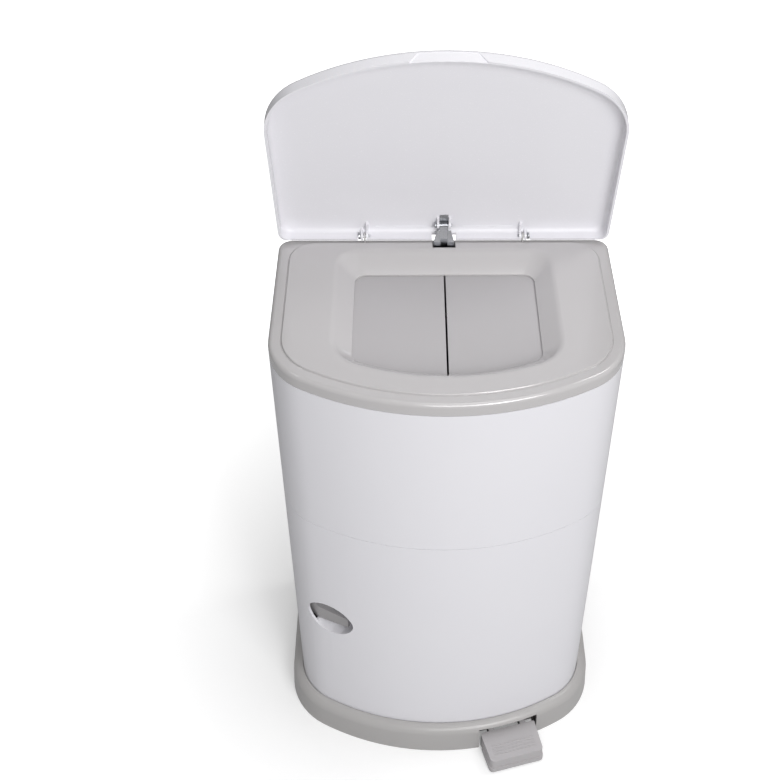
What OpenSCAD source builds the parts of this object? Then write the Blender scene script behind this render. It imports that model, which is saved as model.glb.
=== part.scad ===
// Nappy bin: a D-shaped floor bin with a pedal-lifted lid, a sprung two-leaf trap in its mouth,
// a refill cassette under the rim and a lower front door with a pull latch.
// Millimetres, +Z up. The origin is on the floor under the middle of the mouth, +Y is the flat back.
// It is drawn as it stands in use with the pedal pressed: lid open, link and push rod up.

/* [Outline] */
// Width of the body
bin_w = 346; // [342:1:356]
// Mouth centre to the flat back
back_y = 121; // [120:1:125]
// Mouth centre to the front
front_y = 129; // [127:1:134]
// Radius of the back corners
rear_r = 14; // [10:1:20]
// Radius of the front corners
side_r = 66; // [60:1:72]
// Radius of the bowed front
front_r = 281; // [270:1:300]
// Height of the rim above the floor
rim_z = 585; // [575:1:620]
// Wall of the mouldings
wall = 3; // [2.6:0.1:3.2]
// Height of the door's top seam
seam_z = 374; // [366:1:380]

/* [Base] */
// Height of the base ring
base_h = 41; // [39:1:44]
// How far the ring stands out at the floor
base_out = 14.5; // [13.5:0.5:16]
// Radius of the ring's shoulder
base_shoulder_r = 11; // [9:0.5:11]
// Diameter of the rubber pads
pad_d = 24; // [18:1:28]
// Thickness of the rubber pads
pad_t = 1.5; // [1:0.1:1.8]

/* [Rim and mouth] */
// Height of the rim moulding's side face
rim_h = 15.5; // [14:0.5:17]
// Edge of the flat plate, in from the outline
plate_in = 13.3; // [12:0.1:14]
// Thickness of the flat plate
plate_t = 3.2; // [2.8:0.1:3.4]
// Width of the groove round the plate
groove_w = 1.4; // [1:0.1:2]
// Width of the throat
throat_w = 185; // [175:1:188]
// Depth of the throat, front to back
throat_d = 150; // [140:1:152]
// Depth of the funnel below the plate
funnel_h = 13; // [11:0.5:13.5]
// Width of the slot for the link
slot_w = 24; // [23.4:0.2:25]

/* [Lid] */
// Angle that the lid opens
lid_open = 77; // [60:1:77]
// Height of the lid's top above the rim plate
lid_top = 15; // [15:0.5:18]
// Wall of the lid
lid_wall = 2.5; // [2:0.1:2.6]
// Radius of the lid's top edge
lid_edge_r = 6; // [5:0.5:7]
// Distance from the middle to each lid hinge
hinge_x = 83; // [76:1:90]
// Hinge pin diameter
hinge_pin_d = 4; // [3.6:0.1:4.2]

/* [Pedal] */
// Turn of the pedal about the vertical
pedal_yaw = 14.5; // [13:0.5:15]
// Width of the pedal pad at its root
pad_w = 69; // [64:1:70]
// Reach of the pad's front edge from the fulcrum
pad_reach = 157.5; // [154:0.5:162]
// Height of the pad's top face when pressed
pad_top = 24; // [23:0.5:25]
// Thickness of the steel lever
lever_t = 8; // [6:0.5:8.4]
// Fulcrum pin diameter
ful_d = 5; // [4:0.2:5.2]

/* [Finger recess] */
// Width of the recess
cup_w = 59; // [54:1:60]
// Height of the recess
cup_h = 50; // [44:1:52]
// Depth of the recess
cup_d = 24; // [20:0.5:24]
// Height of the recess's centre
cup_z = 212; // [206:1:222]
// Height of the latch bar
bar_h = 21; // [14:0.5:22]

/* [Trap] */
// Thickness of a flap
flap_t = 3; // [2.4:0.2:3.2]
// Flap hinge pin diameter
flap_pin_d = 4; // [3.4:0.2:4.2]
// Wall of the collar
collar_wall = 2.5; // [2:0.1:2.8]
// Height of the collar
collar_h = 56; // [44:1:57]

/* [Cassette] */
// Height of the cassette
cassette_h = 44.5; // [38:0.5:45]
// Height of the film packed in it
film_h = 36.5; // [28:0.5:37]

/* [Hidden] */
$fn = 64;
gap = 0.3;        // between pieces that stand still
joint = 0.7;      // seen round the foot of the body
run = 0.05;       // radial play of a pin in its bore
eps = 0.02;
// outline
half_w = bin_w/2;
side_x = half_w - side_r;
front_cy = front_r - front_y;
side_cy = front_cy - sqrt(pow(front_r - side_r, 2) - pow(side_x, 2));
// heights
seat_z = base_h - 4;                 // shelf of the base that the body stands on
body_top = rim_z - rim_h - 2*gap;
// lid hinge and lift
hinge_y = back_y - 3;
hinge_z = rim_z + 4.5;
lug_r = 3.5;
lid_in = 0.5;
lip_z = rim_z - 1.3;
crank_back = 12.44;
crank_up = 3.9;
crank_d = 3;
link_len = 32.76;
rod_y = back_y - 11;
crank_y = hinge_y - crank_back*cos(lid_open) + crank_up*sin(lid_open);
crank_z = hinge_z + crank_back*sin(lid_open) + crank_up*cos(lid_open);
link_z = crank_z - sqrt(pow(link_len, 2) - pow(crank_y - rod_y, 2));
link_tilt = asin((crank_y - rod_y)/link_len);
rod_w = 14;
rod_t = 3;
// pedal
ful_x = 51.2;
ful_y = -13.4;
ful_z = pad_top - 5.5;
lever_top = ful_z + lever_t/2;
rod_u = -(rod_y - ful_y)*cos(pedal_yaw) - ful_x*sin(pedal_yaw);
rod_v = (rod_y - ful_y)*sin(pedal_yaw) - ful_x*cos(pedal_yaw);
pad_back = front_y + ful_y + 0.9;
arm_v = 20;
arm_w = 7;
// door and latch
door_y = -11.2;
open_y = door_y + 0.6;
door_hx = half_w - 4;
door_hy = -16;
door_pin_d = 4;
door_z0 = base_h + 0.6;
door_z1 = seam_z - 0.4;
cup_a = 250.4;
cup_turn = 28.8;
cup_x = -side_x + (side_r + 1)*cos(cup_a);
cup_y = side_cy + (side_r + 1)*sin(cup_a);
piv_t = -38;
piv_n = 18;
piv_x = cup_x + piv_t*cos(cup_turn) + piv_n*sin(cup_turn);
piv_y = cup_y - piv_t*sin(cup_turn) + piv_n*cos(cup_turn);
bar_z0 = cup_z - 18;
latch_pin_d = 4;
arm_x = -half_w + 13.5;
// mouth, trap and cassette
mouth_lip = rim_z - funnel_h - 1.7;
collar_x = throat_w/2 + 10.5;
collar_y = throat_d/2 + 6;
collar_top = rim_z - funnel_h - 1;
collar_bot = collar_top - collar_h;
flap_x = collar_x - 4.5;
flap_z = mouth_lip - gap - flap_t - 1;
flap_y = throat_d/2 + 2.5;
boss_x = throat_w/2 + 24.5;
boss_y = throat_d/2 - 15;
boss_bot = rim_z - 9.5;
shelf_z = rim_z - 75;
shelf_t = 3;
cass_z = shelf_z + shelf_t + gap;
cass_x = half_w - 38;
cass_front = 23 - front_y;
cass_back = back_y - 19;

white = [0.93, 0.93, 0.95];
grey = [0.62, 0.62, 0.61];
steel = [0.75, 0.76, 0.78];
dark = [0.2, 0.2, 0.21];

// ---- outlines -------------------------------------------------------------------------------

// points of an arc, the first one left out when skip is 1
function arc(cx, cy, r, a0, a1, n = 8, skip = 0) =
  [for (i = [skip:n]) [cx + r*cos(a0 + (a1 - a0)*i/n), cy + r*sin(a0 + (a1 - a0)*i/n)]];

// D outline: half width x, front y0, back y1, and the radii of its back corners, front corners and front
function dee(x, y0, y1, rr, rs, rf) =
  let (cy = y0 + rf, sx = x - rs, sy = cy - sqrt(pow(rf - rs, 2) - sx*sx), a = atan2(sy - cy, sx))
  concat(arc(0, cy, rf, -180 - a, a, 24, 1), arc(sx, sy, rs, a, 0, 10, 1),
    arc(x - rr, y1 - rr, rr, 0, 90, 6), arc(rr - x, y1 - rr, rr, 90, 180, 6),
    arc(-sx, sy, rs, 180, 180 - a, 10));
// the bin's plan outline moved out by u
function d_pts(u) = dee(half_w + u, -front_y - u, back_y + u, max(rear_r + u, 0.5), side_r + u, front_r + u);

function unit(v) = v/norm(v);
// a polygon's corner b rounded to r, between its neighbours a and c
function corner(a, b, c, r) =
  let (p = unit(a - b), q = unit(c - b), half = acos(p*q)/2, m = b + unit(p + q)*r/sin(half),
    s = b + p*r/tan(half) - m, e = b + q*r/tan(half) - m,
    a0 = atan2(s[1], s[0]), turn = (atan2(e[1], e[0]) - a0 + 540)%360 - 180)
  arc(m[0], m[1], r, a0, a0 + turn, 6);
// corners given as [x, y, radius]
function rounded(p) = let (n = len(p)) [for (i = [0:n - 1])
  let (a = p[(i + n - 1)%n], b = p[i], c = p[(i + 1)%n])
  each (b[2] > 0 ? corner([a[0], a[1]], [b[0], b[1]], [c[0], c[1]], b[2]) : [[b[0], b[1]]])];
function rect_pts(x, y0, y1, r) = rounded([[x, y0, r], [x, y1, r], [-x, y1, r], [-x, y0, r]]);

module slab(p, z0, z1) translate([0, 0, z0]) linear_extrude(z1 - z0) polygon(p);
module d_slab(u, z0, z1) slab(d_pts(u), z0, z1);
// skin through rings of points, from a cap that faces down, along the wall, to a cap that faces up
module skin(rings) {
  m = len(rings[0]);
  n = len(rings);
  polyhedron([for (r = rings) each r], concat([[for (j = [0:m - 1]) j]],
    [for (i = [0:n - 2], j = [0:m - 1]) [i*m + j, (i + 1)*m + j, (i + 1)*m + (j + 1)%m, i*m + (j + 1)%m]],
    [[for (j = [m - 1:-1:0]) (n - 1)*m + j]]));
}
function at_z(p, z) = [for (q = p) [q[0], q[1], z]];
// the plan outline carried through the levels [u, z] of a cross-section
function d_rings(levels) = [for (l = levels) at_z(d_pts(l[0]), l[1])];
module d_skin(levels) skin(d_rings(levels));
module box(x0, x1, y0, y1, z0, z1) translate([x0, y0, z0]) cube([x1 - x0, y1 - y0, z1 - z0]);
module pin_x(x0, x1, y, z, d) translate([x0, y, z]) rotate([0, 90, 0]) cylinder(x1 - x0, d = d);
module pin_y(y0, y1, x, z, d) translate([x, y0, z]) rotate([-90, 0, 0]) cylinder(y1 - y0, d = d);
module pin_z(z0, z1, x, y, d) translate([x, y, z0]) cylinder(z1 - z0, d = d);
// the pedal's own frame: x runs out to the pad, y across it
module at_pedal() translate([ful_x, ful_y, 0]) rotate([0, 0, pedal_yaw - 90]) children();
// the recess's own frame: x across it, y into the bin
module at_cup() translate([cup_x, cup_y, 0]) rotate([0, 0, -cup_turn]) children();
// the lid as it opens: its children are drawn closed
module at_lid() translate([0, hinge_y, hinge_z]) rotate([-lid_open, 0, 0])
  translate([0, -hinge_y, -hinge_z]) children();
// the link's own frame: origin on its lower pin, z up to the crank pin
module at_link() translate([0, rod_y, link_z]) rotate([-link_tilt, 0, 0]) children();

// ---- base -----------------------------------------------------------------------------------

function pads() = [for (s = [-1, 1], p = [[half_w - 53, back_y - 46], [half_w - 93, 54 - front_y]])
  [s*p[0], p[1]]];

module base_tray() {
  shoulder_u = base_out - 1.7 - base_shoulder_r;
  shoulder_z = base_h - base_shoulder_r;
  color(grey) difference() {
    d_skin(concat([[base_out, 0]], arc(shoulder_u, shoulder_z, base_shoulder_r, 0, 90, 7),
      [[joint, base_h], [joint, seat_z], [-6, seat_z], [-6, seat_z - 3],
      [base_out - 1.7 - wall, seat_z - 3], [base_out - 1.7 - wall, wall]]));
    at_pedal() box(100, 175, -pad_w/2 - 2.5, pad_w/2 + 3, -1, seat_z - 2);
    for (p = pads()) pin_z(-1, pad_t, p[0], p[1], pad_d + 2*gap);
    at_pedal() for (u = [-10, 10]) pin_z(0.8, wall + 1, u, 0, 3);
  }
}

module floor_pads() color(dark) for (p = pads()) pin_z(0, pad_t, p[0], p[1], pad_d);

module chamber_floor() color(white) difference() {
  d_slab(-wall - gap, seat_z + gap, seat_z + wall + gap);
  pin_z(0, base_h, door_hx, door_hy, 10.4);
  box(-rod_w/2 - 1.5, rod_w/2 + 1.5, rod_y - 4, rod_y + 4, 0, base_h);
}

// ---- body -----------------------------------------------------------------------------------

module body_shell() {
  boss_d = 9;
  ledge_z = shelf_z - 0.2;
  color(white) difference() {
    union() {
      difference() {
        d_slab(0, seat_z, body_top);
        difference() {
          d_slab(-wall, base_h, body_top + 1);
          box(-half_w, half_w, -front_y, open_y, seam_z + 0.2, seam_z + wall);
          difference() {
            d_slab(-wall + 0.5, ledge_z - 3, ledge_z);
            d_slab(-9, ledge_z - 4, ledge_z + 1);
          }
        }
        d_slab(-wall, seat_z - 1, base_h + 1);
        box(-half_w - 1, half_w + 1, -front_y - 1, open_y, base_h, seam_z + 0.2);
      }
      intersection() {
        union() {
          pin_z(seat_z + eps, base_h, door_hx, door_hy, boss_d);
          pin_z(seam_z + 0.2, seam_z + 16, door_hx, door_hy, boss_d);
        }
        d_slab(-0.2, seat_z, body_top);
      }
    }
    d_slab(-12, seam_z, seam_z + wall + 1);
    pin_z(seat_z - 1, seam_z + 14.5, door_hx, door_hy, door_pin_d + 2*run);
    for (z = guide_zs(), s = [-1, 1]) pin_y(back_y - wall - 1, back_y - 1, s*16, z, 3);
    for (z = strike_zs()) pin_x(-half_w + 1, -half_w + wall + 1, 6, z, 3);
    box(-12, 12, back_y - 14, back_y - wall, ledge_z - 4, ledge_z + 1);
  }
}

module front_door() {
  bore_l = 19.6;
  color(white) difference() {
    union() {
      difference() {
        d_slab(0, door_z0, door_z1);
        difference() {
          d_slab(-wall, door_z0 - 1, door_z1 + 1);
          difference() {
            union() {
              d_slab(-wall + 0.5, door_z0, door_z0 + wall);
              d_slab(-wall + 0.5, door_z1 - wall, door_z1);
            }
            d_slab(-10, door_z0 - 1, door_z1 + 1);
            box(-half_w, half_w, -24, back_y, door_z0 - 1, door_z1 + 1);
          }
        }
        box(-half_w - 1, half_w + 1, door_y, back_y + 1, door_z0 - 1, door_z1 + 1);
        box(door_hx - 6, half_w + 1, door_hy, 0, door_z0 - 1, door_z1 + 1);
      }
      pin_z(door_z0, door_z1, door_hx, door_hy, 8);
    }
    pin_z(door_z0 - 1, door_z0 + bore_l, door_hx, door_hy, door_pin_d + 2*run);
    pin_z(door_z1 - bore_l, door_z1 + 1, door_hx, door_hy, door_pin_d + 2*run);
    at_cup() oval(0, -12, 12);
  }
}

module door_pin_lower() color(steel) pin_z(seat_z + 0.3, door_z0 + 18.4, door_hx, door_hy, door_pin_d);
module door_pin_upper() color(steel) pin_z(door_z1 - 18.6, seam_z + 14, door_hx, door_hy, door_pin_d);

// oval of the finger recess grown by g, from depth y0 to y1, in the recess's frame
module oval(g, y0, y1) {
  end_r = cup_h/3;
  end_x = cup_w/2 - end_r;
  flat_r = (pow(end_x, 2) + pow(cup_h/2, 2) - pow(end_r, 2))/(cup_h - 2*end_r);
  flat_y = flat_r - cup_h/2;
  a = atan2(flat_y, end_x);
  translate([0, y0, cup_z]) rotate([-90, 0, 0]) linear_extrude(y1 - y0) polygon(concat(
    arc(end_x, 0, end_r + g, -a, a, 10), arc(0, -flat_y, flat_r + g, a, 180 - a, 10, 1),
    arc(-end_x, 0, end_r + g, 180 - a, 180 + a, 10, 1),
    [for (p = arc(0, flat_y, flat_r + g, 180 + a, 360 - a, 10, 1)) if (p[0] < end_x + end_r*cos(a)) p]));
}

module pull_cup() {
  lug_lo = [bar_z0 - 5.5, bar_z0 - 1.5];
  lug_hi = [bar_z0 + bar_h + 0.5, bar_z0 + bar_h + 4.5];
  color(white) difference() {
    union() {
      intersection() {
        at_cup() oval(2, -10, cup_d);
        d_slab(-wall - 0.1, cup_z - cup_h, cup_z + cup_h);
      }
      at_cup() for (l = [lug_lo, lug_hi]) {
        box(piv_t, -cup_w/2 + 14, piv_n - 5, piv_n + 5, l[0], l[1]);
        pin_z(l[0], l[1], piv_t, piv_n, 10);
      }
    }
    at_cup() {
      oval(0, -12, cup_d - 2);
      box(-cup_w/2 - 4, -cup_w/2 + 13, 3.6, cup_d + 1, bar_z0 - 1, bar_z0 + bar_h + 0.5);
      pin_z(lug_lo[0] + 1, lug_hi[1] - 1, piv_t, piv_n, latch_pin_d + 2*run);
    }
  }
}

// bar in the recess, neck through its end wall, and the arm that hooks behind the strike
module latch_lever() color(grey) difference() {
  union() {
    difference() {
      at_cup() slab([[-42, 15.5], [-31, 11.5], [-23, 8.2], [-18, 7], [20, 7], [20, 13], [-24, 13.4],
        [-31, 21], [-40, 22]], bar_z0, bar_z0 + bar_h);
      at_cup() translate([0, 30, 0]) rotate([90, 0, 0]) linear_extrude(40)
        polygon([[-22, bar_z0], [20, bar_z0 + 6], [22, bar_z0 - 1], [-22, bar_z0 - 1]]);
    }
    slab([[piv_x + 4, piv_y], [arm_x + 5, piv_y + 12], [arm_x + 5, door_y + 9.7],
      [arm_x - 6.5, door_y + 9.7], [arm_x - 6.5, door_y + 5.7], [arm_x, door_y + 5.7],
      [arm_x, piv_y + 4], [piv_x - 4, piv_y - 2]], bar_z0, bar_z0 + bar_h);
    pin_z(bar_z0, bar_z0 + bar_h, piv_x, piv_y, 10);
  }
  pin_z(bar_z0 - 1, bar_z0 + bar_h + 1, piv_x, piv_y, latch_pin_d + 2*run);
}

module latch_pin() color(steel) pin_z(bar_z0 - 4.5, bar_z0 + bar_h + 3.5, piv_x, piv_y, latch_pin_d);

module latch_spring() color(steel) difference() {
  union() {
    pin_z(bar_z0 - 1.4, bar_z0 - 0.3, piv_x, piv_y, 8);
    translate([piv_x, piv_y, 0]) rotate([0, 0, 5]) box(-4, -2.8, 0, 26, bar_z0 - 1.4, bar_z0 - 0.3);
  }
  pin_z(bar_z0 - 5, bar_z0 + 1, piv_x, piv_y, latch_pin_d + 0.6);
}

function strike_zs() = [bar_z0 + 1, bar_z0 + bar_h - 1];
module strike_plate() color(steel) difference() {
  x = -half_w + wall + 0.1;
  union() {
    box(x, x + 2, door_y + 2.2, 14, bar_z0 - 4, bar_z0 + bar_h + 4);
    box(x, arm_x - 0.5, door_y + 2.2, door_y + 5.2, bar_z0 - 4, bar_z0 + bar_h + 4);
  }
  for (z = strike_zs()) pin_x(x - 1, x + 3, 6, z, 3.1);
}
module strike_screws() color(steel) for (z = strike_zs()) {
  pin_x(-half_w + 1.2, -half_w + wall + 2.2, 6, z, 2.8);
  pin_x(-half_w + wall + 2.1, -half_w + wall + 3.8, 6, z, 5);
}

// ---- rim ------------------------------------------------------------------------------------

// rings of the plate, the funnel's top and the throat, moved out by g
function plate_ring(g, z) = at_z(dee(half_w - plate_in + g, -front_y + plate_in - g, back_y - 8.5 + g,
  27 + g, side_r - plate_in + g, front_r - plate_in + g), z);
function top_ring(g, z) = at_z(dee(throat_w/2 + 18.5 + g, -throat_d/2 - 16 - g, back_y - 21.5 + g, 22 + g,
  38 + g, 230 + g), z);
function throat_ring(g, z) = at_z(dee(throat_w/2 + g, -throat_d/2 - g, throat_d/2 + g, 12 + g,
  14 + g, 215 + g), z);
// the funnel's top edge is rounded by a parabola between the plate and the slope
module funnel_cut() {
  a = top_ring(3.5, rim_z);
  b = top_ring(0, rim_z);
  low = throat_ring(0, rim_z - funnel_h);
  c = b*0.82 + low*0.18;
  skin(concat([throat_ring(0, mouth_lip - 1), low],
    [for (t = [1:-0.25:0]) a*pow(1 - t, 2) + b*2*t*(1 - t) + c*t*t], [top_ring(3.5, rim_z + 1)]));
}
module funnel_wall() skin([throat_ring(2.5, mouth_lip), throat_ring(2.5, rim_z - funnel_h),
  top_ring(2.5, rim_z - plate_t + 0.5), top_ring(2.5, rim_z - 1)]);

module top_cover() {
  r = 4.5;
  ledge = rim_z - 1.6;
  color(grey) difference() {
    union() {
      skin(concat([plate_ring(-1.5, rim_z - plate_t), plate_ring(-1.5, ledge - plate_t)],
        d_rings(concat([[-2*wall - gap, ledge - plate_t], [-2*wall - gap, rim_z - 22],
        [-wall - gap, rim_z - 22], [-wall - gap, rim_z - rim_h], [0, rim_z - rim_h]],
        arc(-r, ledge - r, r, 0, 90, 6))),
        [plate_ring(groove_w, ledge), plate_ring(groove_w - 0.4, rim_z - 2.1), plate_ring(0.4, rim_z - 2.1),
        plate_ring(0, rim_z - 0.5), plate_ring(-0.5, rim_z)]));
      funnel_wall();
      for (x = [-1, 1], y = [-1, 1]) pin_z(boss_bot, rim_z - 1.5, x*boss_x, y*boss_y, 8);
      for (s = [-1, 1]) {
        pin_x(s*hinge_x - 0.8, s*hinge_x + 0.8, hinge_y, hinge_z, 2*lug_r);
        box(s*hinge_x - 0.8, s*hinge_x + 0.8, hinge_y - lug_r, hinge_y + 2.5, ledge - 3.5, hinge_z);
      }
    }
    funnel_cut();
    box(-slot_w/2, slot_w/2, rod_y - 6.4, rod_y + 7.3, rim_z - 30, rim_z + 1);
    for (x = [-1, 1], y = [-1, 1]) pin_z(boss_bot - 1, rim_z - 4, x*boss_x, y*boss_y, 3.1);
    for (s = [-1, 1]) pin_x(s*hinge_x - 3, s*hinge_x + 3, hinge_y, hinge_z, hinge_pin_d + 2*run);
  }
}

module hinge_pin() color(steel) {
  pin_x(hinge_x - 4.6, hinge_x + 4.3, hinge_y, hinge_z, hinge_pin_d);
  pin_x(hinge_x + 4.2, hinge_x + 6.7, hinge_y, hinge_z, 7);
}
module hinge_pin_left() mirror([1, 0, 0]) hinge_pin();
module hinge_pin_right() hinge_pin();

// ---- lid and lift ---------------------------------------------------------------------------

module lid() {
  top = rim_z + lid_top;
  inner = top - lid_wall;
  in_r = 5;
  ear = 2.4;
  color(white) at_lid() difference() {
    union() {
      d_skin(concat(arc(-lid_in - lid_wall - in_r, inner - in_r, in_r, 90, 0, 5),
        [[-lid_in - lid_wall, lip_z], [-lid_in, lip_z]],
        arc(-lid_in - lid_edge_r, top - lid_edge_r, lid_edge_r, 0, 90, 6)));
      intersection() {
        for (s = [-1, 1]) for (x = [s*hinge_x - 1.5 - ear, s*hinge_x + 1.5]) {
          pin_x(x, x + ear, hinge_y, hinge_z, 2*lug_r);
          box(x, x + ear, hinge_y - lug_r, hinge_y + 1, hinge_z, inner + 1);
        }
        d_slab(-lid_in - 0.2, lip_z, top - 1);
      }
      for (s = [0, 1]) mirror([s, 0, 0]) {
        box(hinge_x - 1.5 - ear, hinge_x - 1.5, hinge_y - 13, hinge_y, inner - 4.5, inner + 1);
        box(19, 72, back_y - 9.6, back_y - 8.4, inner - 0.7, inner + 1);
      }
      for (x = [-7.3, 4.9]) {
        pin_x(x, x + ear, hinge_y - crank_back, hinge_z + crank_up, 7);
        box(x, x + ear, hinge_y - crank_back - 8, hinge_y - crank_back + 3.5, hinge_z + crank_up, inner + 1);
      }
    }
    box(-slot_w/2 - 0.5, slot_w/2 + 0.5, hinge_y - 1, back_y + 1, lip_z - 1, rim_z + 8);
    for (s = [-1, 1]) box(s*hinge_x - 1.5, s*hinge_x + 1.5, hinge_y - lug_r - 1, back_y + 1, lip_z - 1,
      hinge_z + lug_r + 0.4);
    box(-half_w, half_w, hinge_y, back_y + 1, lip_z - 1, rim_z + 0.5);
    for (s = [-1, 1]) pin_x(s*hinge_x - 6, s*hinge_x + 6, hinge_y, hinge_z, hinge_pin_d + 2*run);
    for (s = [0, 1]) mirror([s, 0, 0]) {
      pin_x(hinge_x + 4, hinge_x + 7.2, hinge_y, hinge_z, 7.8);
      box(hinge_x + 4, hinge_x + 7.2, hinge_y - lug_r - 0.4, back_y + 1, lip_z - 1, hinge_z);
    }
    pin_x(-9, 9, hinge_y - crank_back, hinge_z + crank_up, crank_d + 2*run);
    difference() {
      translate([0, -front_y + 6, 0]) rotate([90, 0, 0]) linear_extrude(10)
        polygon([[-36, lip_z - 1], [36, lip_z - 1], [27, rim_z + 9.5], [-27, rim_z + 9.5]]);
      d_skin([[-lid_in - 1.9, lip_z - 2], [-lid_in - 0.4, rim_z + 10], [-lid_in - 0.4, top]]);
    }
  }
}

module crank_pin() color(steel) at_lid() {
  pin_x(-8, 8.5, hinge_y - crank_back, hinge_z + crank_up, crank_d);
  pin_x(-9.8, -7.9, hinge_y - crank_back, hinge_z + crank_up, 5.6);
}
module wear_plate() color(steel) at_lid() translate([0, 0, rim_z + lid_top - lid_wall])
  box(-4.6, 4.6, hinge_y - 24, hinge_y - 9, -0.55, -0.05);

module lid_link() {
  head_r = 3.2;
  color(steel) at_link() difference() {
    union() {
      for (s = [-1, 1]) translate([s*4 - 0.4, 0, 0]) {
        rotate([0, 90, 0]) cylinder(0.8, r = 4);
        translate([0, -2.6, 0]) cube([0.8, 5.2, link_len]);
        translate([0, 0, link_len]) rotate([0, 90, 0]) cylinder(0.8, r = head_r);
      }
      translate([-4.4, 1.8, 6]) cube([8.8, 0.8, link_len - 8]);
      for (s = [0, 1]) mirror([s, 0, 0]) translate([0, -1.8, 0]) rotate([90, 0, 0]) linear_extrude(0.8)
        polygon([[4, 6], [11, 6], [11, 14.5], [7.2, 27.8], [4, 27.8]]);
    }
    // the head's saddle runs on the crank pin and is open to the front
    translate([-6, 0, link_len]) rotate([0, 90, 0]) cylinder(12, r = 1.7);
    translate([-6, 0, link_len]) rotate([45, 0, 0]) translate([0, -1.7, 0]) cube([12, 3.4, 6]);
    translate([-6, 0, 0]) rotate([0, 90, 0]) cylinder(12, d = crank_d + 2*run);
  }
}
module link_pin() color(steel) pin_x(-5, 5, rod_y, link_z, crank_d);

module push_rod() color(steel) difference() {
  union() {
    box(-rod_w/2, rod_w/2, rod_y - rod_t/2, rod_y + rod_t/2, lever_top + 8, link_z - 7);
    box(-2, 2, rod_y - rod_t/2, rod_y + rod_t/2, lever_top + gap, lever_top + 8);
    box(-3.4, 3.4, rod_y - rod_t/2, rod_y + rod_t/2, link_z - 7, link_z);
    pin_x(-3.4, 3.4, rod_y, link_z, 6.8);
  }
  pin_x(-4, 4, rod_y, link_z, crank_d + 2*run);
}

function guide_zs() = [120, rim_z - 52];
module rod_guide(z) color(white) difference() {
  union() {
    box(-12, 12, rod_y - 5, back_y - wall - 0.1, z - 5, z + 5);
    box(-21, 21, back_y - wall - 2.6, back_y - wall - 0.1, z - 5, z + 5);
  }
  box(-rod_w/2 - 0.3, rod_w/2 + 0.3, rod_y - rod_t/2 - 0.3, rod_y + rod_t/2 + 0.3, z - 6, z + 6);
  for (s = [-1, 1]) pin_y(back_y - wall - 4, back_y, s*16, z, 3.1);
}
module rod_guide_lower() rod_guide(guide_zs()[0]);
module rod_guide_upper() rod_guide(guide_zs()[1]);
module guide_screws() color(steel) for (z = guide_zs(), s = [-1, 1]) {
  pin_y(back_y - wall - 2.7, back_y - 1.2, s*16, z, 2.8);
  pin_y(back_y - wall - 4.6, back_y - wall - 2.65, s*16, z, 5);
}

// ---- pedal ----------------------------------------------------------------------------------

module pedal_lever() color(steel) at_pedal() difference() {
  union() {
    slab([[pad_back - 24.5, -23.5], [pad_back - 24.5, 23.5], [pad_back - 36.5, 23.5], [pad_back - 56.5, 15],
      [-20, 15], [rod_u - 5, rod_v + 6], [rod_u - 5, rod_v - 6], [-20, -15], [pad_back - 56.5, -15],
      [pad_back - 36.5, -23.5]], lever_top - lever_t, lever_top);
    for (s = [-1, 1]) box(pad_back - 31.5, pad_reach - 7.5, s*arm_v - arm_w/2, s*arm_v + arm_w/2,
      lever_top - 9.2, pad_top - 2.7);
  }
  pin_y(-20, 20, 0, ful_z, ful_d + 2*run);
}

module pedal_pad() {
  hw = pad_w/2;
  z0 = 1.5;
  color(grey) at_pedal() difference() {
    union() {
      slab(rounded([[pad_back, -hw, 2], [pad_reach, -hw + 1.6, 5], [pad_reach, hw - 1.6, 5],
        [pad_back, hw, 2]]), z0, pad_top);
      slab(rounded([[pad_back + 8, -hw - 0.8, 2], [pad_reach + 1.2, -hw + 0.4, 5],
        [pad_reach + 1.2, hw - 0.4, 5], [pad_back + 8, hw + 0.8, 2]]), z0, z0 + 7.5);
      for (s = [-1, 1]) box(pad_back - 16.5, pad_back + 1, s*arm_v - arm_w/2, s*arm_v + arm_w/2,
        pad_top - 2.5, pad_top);
      for (u = [8, 12, 16, 20]) box(pad_reach - u - 1, pad_reach - u, -hw + 8, hw - 8, pad_top - 1,
        pad_top + 0.6);
    }
    box(pad_back - 1, pad_reach - 2.5, -hw + 3.6, hw - 3.6, z0 - 1, pad_top - 2.5);
  }
}

module fulcrum_bracket() color(steel) at_pedal() difference() {
  union() {
    box(-14, 14, -17.4, 17.4, wall + 0.1, wall + 1.6);
    for (s = [-1, 1]) box(-9, 9, s*16.4 - 1, s*16.4 + 1, wall + 0.1, ful_z + 5.5);
  }
  pin_y(-20, 20, 0, ful_z, ful_d + 2*run);
  for (u = [-10, 10]) pin_z(wall, wall + 2, u, 0, 3.1);
}
module fulcrum_pin() color(steel) at_pedal() pin_y(-18.4, 18.4, 0, ful_z, ful_d);
module bracket_screws() color(steel) at_pedal() for (u = [-10, 10]) {
  pin_z(1, wall + 1.7, u, 0, 2.8);
  pin_z(wall + 1.65, wall + 3.4, u, 0, 6);
}

// ---- trap -----------------------------------------------------------------------------------

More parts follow.
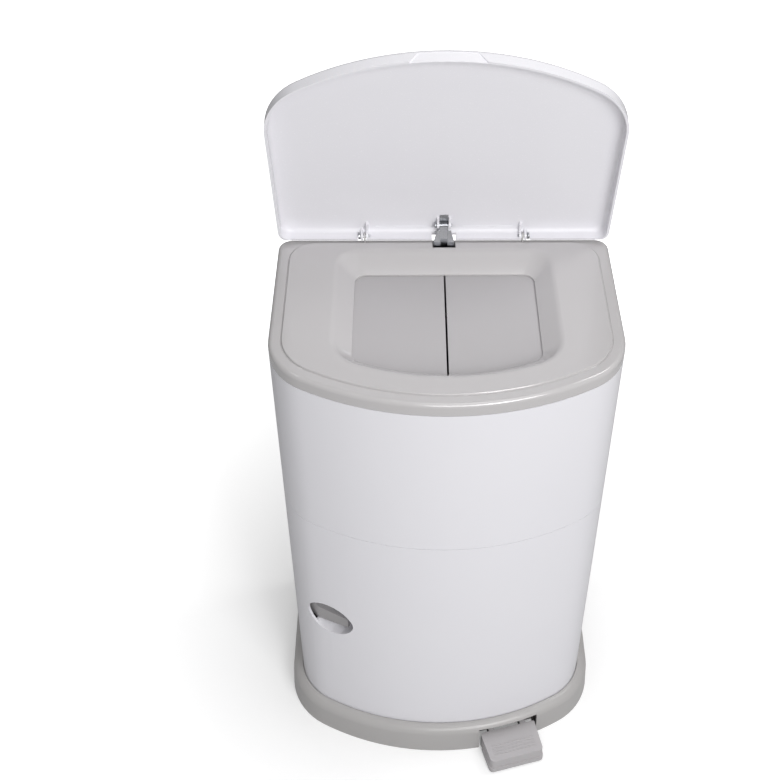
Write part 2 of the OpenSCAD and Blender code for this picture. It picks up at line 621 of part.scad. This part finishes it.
module chute_collar() color(grey) difference() {
  union() {
    slab(rect_pts(collar_x + collar_wall, -collar_y - collar_wall, collar_y + collar_wall, 6),
      collar_bot, collar_top);
    for (x = [-1, 1], y = [-1, 1]) {
      translate([x*(collar_x + collar_wall/2), y*boss_y, 0])
        box(-collar_wall/2, collar_wall/2, -8, 8, collar_top - 4, boss_bot);
      translate([x*(collar_x + boss_x + 4)/2, y*boss_y, 0])
        box(-(boss_x + 4 - collar_x)/2, (boss_x + 4 - collar_x)/2, -8, 8, boss_bot - 2.6, boss_bot - 0.1);
    }
  }
  slab(rect_pts(collar_x, -collar_y, collar_y, 4), collar_bot - 1, collar_top + 1);
  for (x = [-1, 1]) pin_y(-collar_y - 4, collar_y + 4, x*flap_x, flap_z, flap_pin_d + 2*run);
  for (x = [-1, 1], y = [-1, 1]) pin_z(boss_bot - 4, boss_bot + 1, x*boss_x, y*boss_y, 3.1);
}
module collar_screws() color(steel) for (x = [-1, 1], y = [-1, 1]) {
  pin_z(boss_bot - 2.8, boss_bot + 5, x*boss_x, y*boss_y, 2.8);
  pin_z(boss_bot - 4.6, boss_bot - 2.7, x*boss_x, y*boss_y, 6);
}

module trap_flap() color(grey) difference() {
  union() {
    slab(rounded([[1, -flap_y, 2], [1, flap_y, 2], [flap_x - 2, flap_y, 1], [flap_x - 2, -flap_y, 1]]),
      flap_z + 1, flap_z + 1 + flap_t);
    for (y = [-flap_y, 12.5]) {
      pin_y(y, y + flap_y - 12.5, flap_x, flap_z, 7);
      box(flap_x - 3, flap_x, y, y + flap_y - 12.5, flap_z, flap_z + 2.4);
    }
  }
  pin_y(-collar_y, collar_y, flap_x, flap_z, flap_pin_d + 2*run);
  box(flap_x - 5, flap_x, -12, 12, flap_z, flap_z + flap_t + 2);
}
module trap_flap_left() mirror([1, 0, 0]) trap_flap();
module trap_flap_right() trap_flap();
module flap_pin_left() color(steel) pin_y(-collar_y - 2, collar_y + 2, -flap_x, flap_z, flap_pin_d);
module flap_pin_right() color(steel) pin_y(-collar_y - 2, collar_y + 2, flap_x, flap_z, flap_pin_d);

module flap_spring() color(steel) difference() {
  union() {
    pin_y(-10, 10, flap_x, flap_z, 6.6);
    box(flap_x - 26, flap_x, 8.4, 10, flap_z - 1, flap_z + 0.6);
  }
  pin_y(-11, 11, flap_x, flap_z, flap_pin_d + 0.6);
}
module flap_spring_left() mirror([1, 0, 0]) flap_spring();
module flap_spring_right() flap_spring();

// ---- cassette -------------------------------------------------------------------------------

module cassette_shelf() color(white) difference() {
  d_slab(-wall - gap, shelf_z, shelf_z + shelf_t);
  slab(rect_pts(collar_x + 1, -collar_y + 1, collar_y - 1, 12), shelf_z - 1, shelf_z + shelf_t + 1);
  box(-rod_w/2 - 1.5, rod_w/2 + 1.5, rod_y - 4, rod_y + 8, shelf_z - 1, shelf_z + shelf_t + 1);
}

module liner_cassette() color(grey) difference() {
  in_x = collar_x + 4;
  in_y = collar_y + 4.5;
  slab(rect_pts(cass_x, cass_front, cass_back, 45), cass_z, cass_z + cassette_h);
  slab(rect_pts(in_x, -in_y, in_y, 8), cass_z - 1, cass_z + cassette_h + 1);
  difference() {
    slab(rect_pts(cass_x - 2, cass_front + 2, cass_back - 2, 43), cass_z + 2, cass_z + cassette_h + 1);
    slab(rect_pts(in_x + 2, -in_y - 2, in_y + 2, 10), cass_z + 1, cass_z + cassette_h + 2);
  }
}
module liner_film() color([0.85, 0.87, 0.9]) difference() {
  slab(rect_pts(cass_x - 2.3, cass_front + 2.3, cass_back - 2.3, 42.7), cass_z + 2.3, cass_z + 2.3 + film_h);
  slab(rect_pts(collar_x + 6.3, -collar_y - 6.8, collar_y + 6.8, 10.3), cass_z + 1, cass_z + film_h + 4);
}

module liner_cutter() color(grey) difference() {
  intersection() {
    box(-30, 30, -front_y, -front_y + 21, seam_z + 6, seam_z + 22);
    d_slab(-wall - 0.1, seam_z, seam_z + 30);
  }
  box(-27, 27, -front_y + 9, -front_y + 22, seam_z + 13.2, seam_z + 14.7);
}
module cutter_blade() color(steel)
  box(-26.5, 26.5, -front_y + 9.3, -front_y + 17, seam_z + 13.7, seam_z + 14.2);

base_tray();
floor_pads();
chamber_floor();
body_shell();
front_door();
door_pin_lower();
door_pin_upper();
pull_cup();
latch_lever();
latch_pin();
latch_spring();
strike_plate();
strike_screws();
top_cover();
hinge_pin_left();
hinge_pin_right();
lid();
crank_pin();
wear_plate();
lid_link();
link_pin();
push_rod();
rod_guide_lower();
rod_guide_upper();
guide_screws();
pedal_lever();
pedal_pad();
fulcrum_bracket();
fulcrum_pin();
bracket_screws();
chute_collar();
collar_screws();
trap_flap_left();
trap_flap_right();
flap_pin_left();
flap_pin_right();
flap_spring_left();
flap_spring_right();
cassette_shelf();
liner_cassette();
liner_film();
liner_cutter();
cutter_blade();
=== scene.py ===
"""Nappy bin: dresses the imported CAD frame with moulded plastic, metal, rubber and film finishes."""
import math

import bmesh
import bpy
from mathutils import Matrix, Vector

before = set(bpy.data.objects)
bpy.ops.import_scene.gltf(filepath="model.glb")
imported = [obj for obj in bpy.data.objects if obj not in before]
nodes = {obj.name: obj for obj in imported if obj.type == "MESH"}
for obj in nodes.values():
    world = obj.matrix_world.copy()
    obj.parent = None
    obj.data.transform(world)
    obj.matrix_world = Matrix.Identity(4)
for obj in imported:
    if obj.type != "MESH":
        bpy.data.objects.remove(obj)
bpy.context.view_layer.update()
scene = bpy.context.scene
MM = 0.001


# ---- camera ---------------------------------------------------------------------------------

PHOTO_W = 780                 # the photograph's width in pixels
FOCAL_PX = 1245.8             # focal length in those pixels
CENTRE_PX = 446.3             # the lens axis meets the photograph at this column
SENSOR_MM = 36
CAM_AT = (-0.0352, -0.9335, 1.3843)
PITCH, YAW, ROLL = (math.radians(a) for a in (44.148, 2.249, 1.241))


def make_camera():
    data = bpy.data.cameras.new("photo_view")
    cam = bpy.data.objects.new("photo_view", data)
    scene.collection.objects.link(cam)
    scene.camera = cam
    data.sensor_fit = "HORIZONTAL"
    data.sensor_width = SENSOR_MM
    data.lens = SENSOR_MM * FOCAL_PX / PHOTO_W
    data.shift_x = (PHOTO_W / 2 - CENTRE_PX) / PHOTO_W
    data.clip_start, data.clip_end = 0.05, 50
    level = math.cos(PITCH)
    ahead = Vector((math.sin(YAW) * level, math.cos(YAW) * level, -math.sin(PITCH)))
    side = ahead.cross(Vector((0, 0, 1))).normalized()
    up = side.cross(ahead)
    right = side * math.cos(ROLL) + up * math.sin(ROLL)
    top = up * math.cos(ROLL) - side * math.sin(ROLL)
    axes = Matrix((right, top, -ahead)).transposed()
    cam.matrix_world = Matrix.Translation(CAM_AT) @ axes.to_4x4()


# ---- materials ------------------------------------------------------------------------------


def srgb(r, g, b):
    """A colour read off as 0-255 becomes the linear colour that Blender works in."""
    return tuple(((c / 255 + 0.055) / 1.055) ** 2.4 for c in (r, g, b)) + (1.0,)


def new_material(name):
    mat = bpy.data.materials.new(name)
    mat.use_nodes = True
    tree = mat.node_tree
    shader = tree.nodes["Principled BSDF"]
    place = tree.nodes.new("ShaderNodeTexCoord")
    return mat, tree, shader, place.outputs["Object"]


def noise(tree, place, scale, detail=2.0, stretch=(1, 1, 1), rough=0.5):
    spread = tree.nodes.new("ShaderNodeMapping")
    spread.inputs["Scale"].default_value = stretch
    tree.links.new(place, spread.inputs["Vector"])
    n = tree.nodes.new("ShaderNodeTexNoise")
    n.inputs["Scale"].default_value = scale
    n.inputs["Detail"].default_value = detail
    n.inputs["Roughness"].default_value = rough
    tree.links.new(spread.outputs["Vector"], n.inputs["Vector"])
    return n.outputs["Fac"]


def remap(tree, value, low, high, start=0.3, end=0.7):
    """Stretches value from start..end to low..high and holds it there."""
    m = tree.nodes.new("ShaderNodeMapRange")
    m.inputs["From Min"].default_value, m.inputs["From Max"].default_value = start, end
    m.inputs["To Min"].default_value, m.inputs["To Max"].default_value = low, high
    tree.links.new(value, m.inputs["Value"])
    return m.outputs["Result"]


def blend_colour(tree, value, a, b):
    m = tree.nodes.new("ShaderNodeMix")
    m.data_type = "RGBA"
    m.inputs["A"].default_value, m.inputs["B"].default_value = a, b
    tree.links.new(value, m.inputs["Factor"])
    return m.outputs["Result"]


def bump(tree, shader, value, strength, depth):
    b = tree.nodes.new("ShaderNodeBump")
    b.inputs["Strength"].default_value = strength
    b.inputs["Distance"].default_value = depth
    tree.links.new(value, b.inputs["Height"])
    tree.links.new(b.outputs["Normal"], shader.inputs["Normal"])


MOTTLE_SCALE, GLOSS_SCALE, GRAIN_SCALE = 6, 700, 1400     # noise scales of a moulding, per metre
GLOSS_SPREAD = 0.04           # how far the roughness wanders to either side
GRAIN_DEPTH = 0.06 * MM
COAT_ROUGH = 0.12
SPECULAR = 0.45


def plastic(name, colour, shade, rough, grain, coat=0.0):
    """Moulded plastic: a faint flow mottle, finely uneven gloss and the fine grain of the tool."""
    mat, tree, shader, place = new_material(name)
    mottle = noise(tree, place, MOTTLE_SCALE, 1)
    tree.links.new(blend_colour(tree, mottle, colour, shade), shader.inputs["Base Color"])
    uneven = noise(tree, place, GLOSS_SCALE, 2)
    gloss = remap(tree, uneven, rough - GLOSS_SPREAD, rough + GLOSS_SPREAD, 0, 1)
    tree.links.new(gloss, shader.inputs["Roughness"])
    bump(tree, shader, noise(tree, place, GRAIN_SCALE, 2), grain, GRAIN_DEPTH)
    shader.inputs["Coat Weight"].default_value = coat
    shader.inputs["Coat Roughness"].default_value = COAT_ROUGH
    shader.inputs["Specular IOR Level"].default_value = SPECULAR
    return mat


def metal(name, colour, rough, streak=(1, 1, 0.06)):
    """Metal with the fine lines of rolling or drawing along one axis."""
    mat, tree, shader, place = new_material(name)
    lines = noise(tree, place, 1500, 3, streak, 0.6)
    shader.inputs["Metallic"].default_value = 1.0
    cloud = remap(tree, noise(tree, place, 30, 3), 0, 1)
    duller = tuple(c * 0.9 for c in colour[:3]) + (1,)
    tree.links.new(blend_colour(tree, cloud, colour, duller), shader.inputs["Base Color"])
    tree.links.new(remap(tree, lines, rough - 0.05, rough + 0.09), shader.inputs["Roughness"])
    bump(tree, shader, lines, 0.25, 0.04 * MM)
    return mat


def rubber(name):
    mat, tree, shader, place = new_material(name)
    tree.links.new(blend_colour(tree, noise(tree, place, 40, 4), srgb(38, 38, 39), srgb(54, 53, 54)),
                   shader.inputs["Base Color"])
    shader.inputs["Roughness"].default_value = 0.75
    bump(tree, shader, noise(tree, place, 900, 3), 0.5, 0.1 * MM)
    return mat


def film(name):
    """Thin film packed in pleats: fine upright ripples, with painted shade in the hollows and painted
    light on the crests.
    """
    mat, tree, shader, place = new_material(name)
    pleats = noise(tree, place, 420, 2, (1, 1, 0.05))
    # painted shade and light: the colour follows the pleat height, darker in the hollows and lighter
    # on the crests
    tree.links.new(blend_colour(tree, pleats, srgb(196, 204, 214), srgb(226, 230, 236)),
                   shader.inputs["Base Color"])
    shader.inputs["Roughness"].default_value = 0.35
    shader.inputs["Transmission Weight"].default_value = 0.15
    bump(tree, shader, pleats, 0.6, 0.5 * MM)
    return mat


# name, colour, its second shade, roughness, grain strength, coat
WHITE = plastic("white_shell", srgb(234, 233, 237), srgb(231, 230, 235), 0.30, 0.05, 0.15)
LID_WHITE = plastic("lid_white", srgb(237, 236, 240), srgb(234, 233, 238), 0.26, 0.04, 0.2)
COVER_GREY = plastic("cover_grey", srgb(193, 190, 191), srgb(189, 187, 187), 0.2, 0.06, 1.0)
FLAP_GREY = plastic("flap_grey", srgb(184, 181, 183), srgb(180, 178, 179), 0.42, 0.14)
BASE_GREY = plastic("base_grey", srgb(181, 179, 178), srgb(177, 175, 174), 0.34, 0.12, 0.15)
LATCH_GREY = plastic("latch_grey", srgb(158, 156, 157), srgb(152, 150, 151), 0.36, 0.12, 0.1)
PEDAL_GREY = plastic("pedal_grey", srgb(186, 183, 184), srgb(181, 178, 180), 0.36, 0.2, 0.1)
STEEL = metal("plated_steel", srgb(196, 197, 200), 0.30)
BRIGHT = metal("bright_sheet", srgb(214, 216, 220), 0.13)
PIN = metal("pin_steel", srgb(178, 180, 184), 0.24, (0.06, 1, 1))
RUBBER = rubber("pad_rubber")
FILM = film("packed_film")

FINISH = {
    "body_shell": WHITE, "front_door": WHITE, "pull_cup": WHITE, "chamber_floor": WHITE,
    "cassette_shelf": WHITE, "rod_guide_lower": WHITE, "rod_guide_upper": WHITE, "lid": LID_WHITE,
    "top_cover": COVER_GREY, "trap_flap_left": FLAP_GREY, "trap_flap_right": FLAP_GREY,
    "chute_collar": FLAP_GREY, "liner_cassette": FLAP_GREY, "liner_cutter": BASE_GREY,
    "base_tray": BASE_GREY, "pedal_pad": PEDAL_GREY, "latch_lever": LATCH_GREY,
    "lid_link": BRIGHT, "hinge_pin_left": PIN, "hinge_pin_right": PIN, "crank_pin": PIN,
    "floor_pads": RUBBER, "liner_film": FILM,
}

# edge width in millimetres where a piece's edges catch the light
EDGE = {
    "lid": 0.8, "top_cover": 0.35, "body_shell": 0.5, "front_door": 0.5, "base_tray": 0.6,
    "pedal_pad": 0.9, "trap_flap_left": 0.4, "trap_flap_right": 0.4, "latch_lever": 0.9,
    "pull_cup": 0.5, "lid_link": 0.12,
}
WELD_MM = 0.002               # points closer than this are one
SHARP = math.radians(28)      # edges that bend more than this are rounded


def dress(name, node):
    """Gives a CAD piece its finish and, where it has one, its rounded edges; the mesh stays."""
    node.data.materials.clear()
    node.data.materials.append(FINISH.get(name, STEEL))
    node.data.polygons.foreach_set("use_smooth", [True] * len(node.data.polygons))
    weld = node.modifiers.new("weld", "WELD")
    weld.merge_threshold = WELD_MM * MM
    if name in EDGE:
        edge = node.modifiers.new("edge", "BEVEL")
        edge.width = EDGE[name] * MM
        edge.segments = 2
        edge.limit_method = "ANGLE"
        edge.angle_limit = SHARP
        edge.use_clamp_overlap = True
    shade = node.modifiers.new("shade", "WEIGHTED_NORMAL")
    shade.weight = 90
    shade.keep_sharp = False


# ---- stage ----------------------------------------------------------------------------------


def seen_directly(tree):
    """1 for what the camera sees straight or through glass."""
    path = tree.nodes.new("ShaderNodeLightPath")
    both = tree.nodes.new("ShaderNodeMath")
    both.operation = "MAXIMUM"
    tree.links.new(path.outputs["Is Camera Ray"], both.inputs[0])
    tree.links.new(path.outputs["Is Transmission Ray"], both.inputs[1])
    return both.outputs[0]


# the weaker glow at the object is a painted shade around it
GLOW_FROM, GLOW_TO = 0.25, 1.0     # how strongly the paper glows at the object and away from it
NEAR, FAR = 0.2, 0.9               # metres from the middle
PAPER = 0.85
HALF_FLOOR = 6.0


def white_when_seen(tree, shader, place):
    """The paper looks white, more so away from the object; its glow fades towards the object as a
    painted shade around it, and it keeps the soft shadow beside it.
    """
    glow = tree.nodes.new("ShaderNodeEmission")
    glow.inputs["Color"].default_value = (1, 1, 1, 1)
    far = tree.nodes.new("ShaderNodeVectorMath")
    far.operation = "LENGTH"
    tree.links.new(place, far.inputs[0])
    # painted shade: the glow is weaker near the object, so the paper darkens around it
    strength = remap(tree, far.outputs["Value"], GLOW_FROM, GLOW_TO, NEAR, FAR)
    tree.links.new(strength, glow.inputs["Strength"])
    paper = tree.nodes.new("ShaderNodeBsdfDiffuse")
    paper.inputs["Color"].default_value = (PAPER, PAPER, PAPER, 1)
    add = tree.nodes.new("ShaderNodeAddShader")
    mix = tree.nodes.new("ShaderNodeMixShader")
    tree.links.new(glow.outputs[0], add.inputs[0])
    tree.links.new(paper.outputs[0], add.inputs[1])
    tree.links.new(seen_directly(tree), mix.inputs["Fac"])
    tree.links.new(shader.outputs["BSDF"], mix.inputs[1])
    tree.links.new(add.outputs[0], mix.inputs[2])
    tree.links.new(mix.outputs["Shader"], tree.nodes["Material Output"].inputs["Surface"])


def make_floor():
    bm = bmesh.new()
    signs = ((-1, -1), (1, -1), (1, 1), (-1, 1))
    bm.faces.new([bm.verts.new((x * HALF_FLOOR, y * HALF_FLOOR, 0)) for x, y in signs])
    mesh = bpy.data.meshes.new("studio_floor")
    bm.to_mesh(mesh)
    bm.free()
    floor = bpy.data.objects.new("studio_floor", mesh)
    scene.collection.objects.link(floor)
    mat, tree, shader, place = new_material("floor_paper")
    cloud = noise(tree, place, 3, 2)
    tree.links.new(blend_colour(tree, cloud, srgb(205, 205, 205), srgb(200, 200, 201)),
                   shader.inputs["Base Color"])
    shader.inputs["Roughness"].default_value = 0.8
    shader.inputs["Specular IOR Level"].default_value = 0.1
    white_when_seen(tree, shader, place)
    mesh.materials.append(mat)


def area_light(name, at, aim, size, watts):
    data = bpy.data.lights.new(name, "AREA")
    data.shape, data.size, data.energy = "SQUARE", size, watts
    lamp = bpy.data.objects.new(name, data)
    scene.collection.objects.link(lamp)
    lamp.location = at
    lamp.rotation_euler = (Vector(aim) - Vector(at)).to_track_quat("-Z", "Y").to_euler()


def make_world(strength):
    """An even sky of this strength, seen as plain white behind the object."""
    world = bpy.data.worlds.new("studio")
    scene.world = world
    world.use_nodes = True
    tree = world.node_tree
    back = tree.nodes["Background"]
    back.inputs["Color"].default_value = (1, 1, 1, 1)
    back.inputs["Strength"].default_value = strength
    seen = tree.nodes.new("ShaderNodeBackground")
    seen.inputs["Color"].default_value = (1, 1, 1, 1)
    seen.inputs["Strength"].default_value = 1.0
    mix = tree.nodes.new("ShaderNodeMixShader")
    tree.links.new(seen_directly(tree), mix.inputs["Fac"])
    tree.links.new(back.outputs["Background"], mix.inputs[1])
    tree.links.new(seen.outputs["Background"], mix.inputs[2])
    tree.links.new(mix.outputs["Shader"], tree.nodes["World Output"].inputs["Surface"])


def make_lights():
    make_world(0.32)
    # name, place and aim in metres, side in metres, watts
    area_light("key", (1.0, -1.85, 2.0), (0, 0, 0.45), 0.9, 21)
    area_light("front", (0.3, -2.0, 1.7), (0, 0, 0.5), 1.2, 20)
    area_light("top", (0.25, -0.3, 2.4), (0, 0, 0.4), 1.0, 5.5)
    area_light("right_patch", (1.0, 0.3, 2.1), (0, 0, 0.58), 0.45, 5)
    area_light("left_patch", (-1.0, 0.3, 2.1), (0, 0, 0.58), 0.2, 1)


# ---- build ----------------------------------------------------------------------------------

make_camera()
for node_name, cad_node in nodes.items():
    dress(node_name, cad_node)
make_floor()
make_lights()
scene.view_settings.view_transform = "Standard"

bpy.context.view_layer.update()
